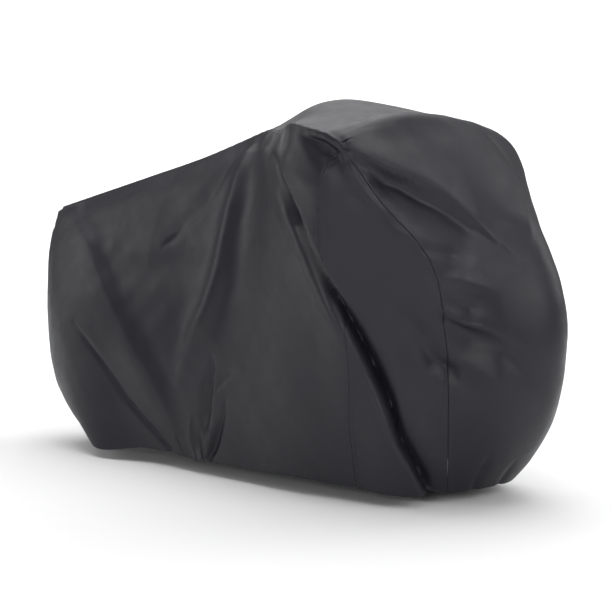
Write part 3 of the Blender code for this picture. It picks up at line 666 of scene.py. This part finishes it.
def stitch_row(name, line, tree, sockets, material):
    """One row of stitches along a line of points, as a plain mesh."""
    mesh = bpy.data.meshes.new(name)
    edges = [(k, k + 1) for k in range(len(line) - 1)]
    mesh.from_pydata((line - (0.0, 0.0, HANG_HEIGHT)).tolist(), edges, [])
    row = bpy.data.objects.new(name, mesh)
    bpy.context.scene.collection.objects.link(row)
    nodes = row.modifiers.new("stitches", "NODES")
    nodes.node_group = tree
    nodes[sockets["Pitch"]] = STITCH_PITCH
    nodes[sockets["Stitch Length"]] = STITCH_LENGTH
    nodes[sockets["Thread"]] = THREAD
    nodes[sockets["Material"]] = material
    seen = row.evaluated_get(bpy.context.evaluated_depsgraph_get())
    row.data = bpy.data.meshes.new_from_object(seen)
    row.modifiers.clear()
    bpy.data.meshes.remove(mesh)
    return row


def beside_seam(section, side):
    """Points on the cloth beside an upright seam, on the side of higher or lower sections."""
    low, high = SEAM_ROW_ENDS
    heights = np.linspace(low, CROWN_RAIL - high, SEAM_POINTS)
    sections = np.full(len(heights), float(section))
    around, _ = scales(sections, heights)
    return draped(sections + side * STITCH_OFFSET / around, heights)


def below_crown_seam(first, last):
    """Points on the cloth just below the crown seam, on one panel."""
    sections = np.linspace(first, last, CROWN_POINTS)
    _, upward = scales(sections, np.full(len(sections), CROWN_RAIL - 2 * PROBE))
    return draped(sections, CROWN_RAIL - STITCH_OFFSET / upward)


def above_hem(first, last):
    """Points on the cloth where the turned hem is stitched down."""
    sections = np.linspace(first, last, HEM_POINTS)
    _, upward = scales(sections, np.zeros(len(sections)))
    return draped(sections, (HEM_DEPTH - HEM_STITCH) / upward)


# ---- studio ----
def matt_paint(name, tone):
    """Matt studio surface: no gloss, so that it stays plain."""
    material = bpy.data.materials.new(name)
    material.use_nodes = True
    shader = material.node_tree.nodes["Principled BSDF"]
    shader.inputs["Base Color"].default_value = colour(tone)
    shader.inputs["Roughness"].default_value = 0.9
    shader.inputs["Specular IOR Level"].default_value = 0.1
    return material


def studio_piece(name, verts, faces, material):
    """One mesh of the studio, which is no part of the cover."""
    mesh = bpy.data.meshes.new(name)
    mesh.from_pydata([tuple(v) for v in verts], [], faces)
    mesh.shade_smooth()
    mesh.materials.append(material)
    piece = bpy.data.objects.new(name, mesh)
    bpy.context.scene.collection.objects.link(piece)


def studio():
    """A plain pale floor, which sweeps up into a wall well behind the cover."""
    paper = matt_paint("matt_white_paper", "#f4f4f4")
    floor = -HANG_HEIGHT
    corners = [(x * FLOOR_HALF, y * FLOOR_HALF, floor)
               for x, y in ((-1, -1), (1, -1), (1, 1), (-1, 1))]
    studio_piece("floor", corners, [(0, 1, 2, 3)], paper)
    profile = []
    for step in range(SWEEP_STEPS + 1):
        angle = step / SWEEP_STEPS * math.pi / 2
        profile.append((SWEEP_START + SWEEP_RADIUS * math.sin(angle),
                        floor + SWEEP_RADIUS * (1 - math.cos(angle))))
    profile.append((SWEEP_START + SWEEP_RADIUS, floor + WALL_HEIGHT))
    azimuth = math.radians(VIEW_AZIMUTH)
    away = Vector((-math.sin(azimuth), math.cos(azimuth), 0.0))
    side = Vector((math.cos(azimuth), math.sin(azimuth), 0.0))
    sweep = [Vector((TARGET.x, TARGET.y, z)) + away * y + side * x
             for y, z in profile for x in (-WALL_HALF, WALL_HALF)]
    faces = [(2 * k, 2 * k + 1, 2 * k + 3, 2 * k + 2) for k in range(len(profile) - 1)]
    studio_piece("wall", sweep, faces, paper)


def softbox(name, place, size, power, aim):
    """A large soft area light that faces a point."""
    light = bpy.data.lights.new(name, "AREA")
    light.shape = "RECTANGLE"
    light.size, light.size_y = size
    light.energy = power
    holder = bpy.data.objects.new(name, light)
    holder.location = place
    holder.rotation_euler = (Vector(aim) - Vector(place)).to_track_quat("-Z", "Y").to_euler()
    bpy.context.scene.collection.objects.link(holder)


def camera():
    """The view from the front near corner, a little above the cover's middle."""
    lens = bpy.data.cameras.new("camera")
    lens.sensor_width = SENSOR
    lens.lens = LENS
    holder = bpy.data.objects.new("camera", lens)
    azimuth, elevation = math.radians(VIEW_AZIMUTH), math.radians(VIEW_ELEVATION)
    back = Vector((math.sin(azimuth) * math.cos(elevation), -math.cos(azimuth) * math.cos(elevation),
                   math.sin(elevation)))
    holder.location = TARGET + back * VIEW_DISTANCE
    holder.rotation_euler = (-back).to_track_quat("-Z", "Y").to_euler()
    bpy.context.scene.collection.objects.link(holder)
    bpy.context.scene.camera = holder


def surroundings():
    """Plain tones, and a faint even light from all round."""
    scene = bpy.context.scene
    scene.view_settings.view_transform = "Standard"
    scene.world = bpy.data.worlds.new("studio")
    scene.world.use_nodes = True
    background = scene.world.node_tree.nodes["Background"]
    background.inputs["Color"].default_value = (1.0, 1.0, 1.0, 1.0)
    background.inputs["Strength"].default_value = WORLD_STRENGTH


# ---- the scene ----
camera()
studio()
surroundings()
for light in LIGHTS:
    softbox(**light)

cloth = coated_polyester()
thread = sewing_thread()
rows = row_places(NEAR_ROWS)
far_rows = row_places(FAR_ROWS)
panels = {
    "near_side_panel": panel_object("near_side_panel_cloth",
                                    column_places(0, NEAR_SEAM, NEAR_SPACING), rows, cloth),
    "front_gore": panel_object("front_gore_cloth",
                               column_places(NEAR_SEAM, FRONT_SEAM, GORE_SPACING), rows, cloth),
    "far_side_panel": panel_object("far_side_panel_cloth",
                                   column_places(FRONT_SEAM, ROUND, FAR_SPACING), far_rows, cloth),
}
tree, sockets = stitch_tree()
stitches = {
    "near_side_panel": [
        stitch_row("ridge_stitches", below_crown_seam(RIDGE_ROW_END, NEAR_SEAM - RIDGE_ROW_END),
                   tree, sockets, thread),
        stitch_row("near_hem_stitches", above_hem(HEM_ROW_END, NEAR_SEAM - HEM_ROW_END),
                   tree, sockets, thread),
        stitch_row("rear_seam_stitches", beside_seam(0, 1), tree, sockets, thread)],
    "front_gore": [
        stitch_row("near_seam_stitches", beside_seam(NEAR_SEAM, 1), tree, sockets, thread),
        stitch_row("gore_hem_stitches", above_hem(NEAR_SEAM + HEM_ROW_END, FRONT_SEAM - HEM_ROW_END),
                   tree, sockets, thread)],
    "far_side_panel": [
        stitch_row("front_seam_stitches", beside_seam(FRONT_SEAM, 1), tree, sockets, thread),
        stitch_row("far_hem_stitches", above_hem(FRONT_SEAM + HEM_ROW_END, ROUND - HEM_ROW_END),
                   tree, sockets, thread)],
}
# hide each CAD panel, and attach its cloth and its stitches to the root body
for node, panel in panels.items():
    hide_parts(node)
    for piece in [panel] + stitches[node]:
        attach(piece, "root")
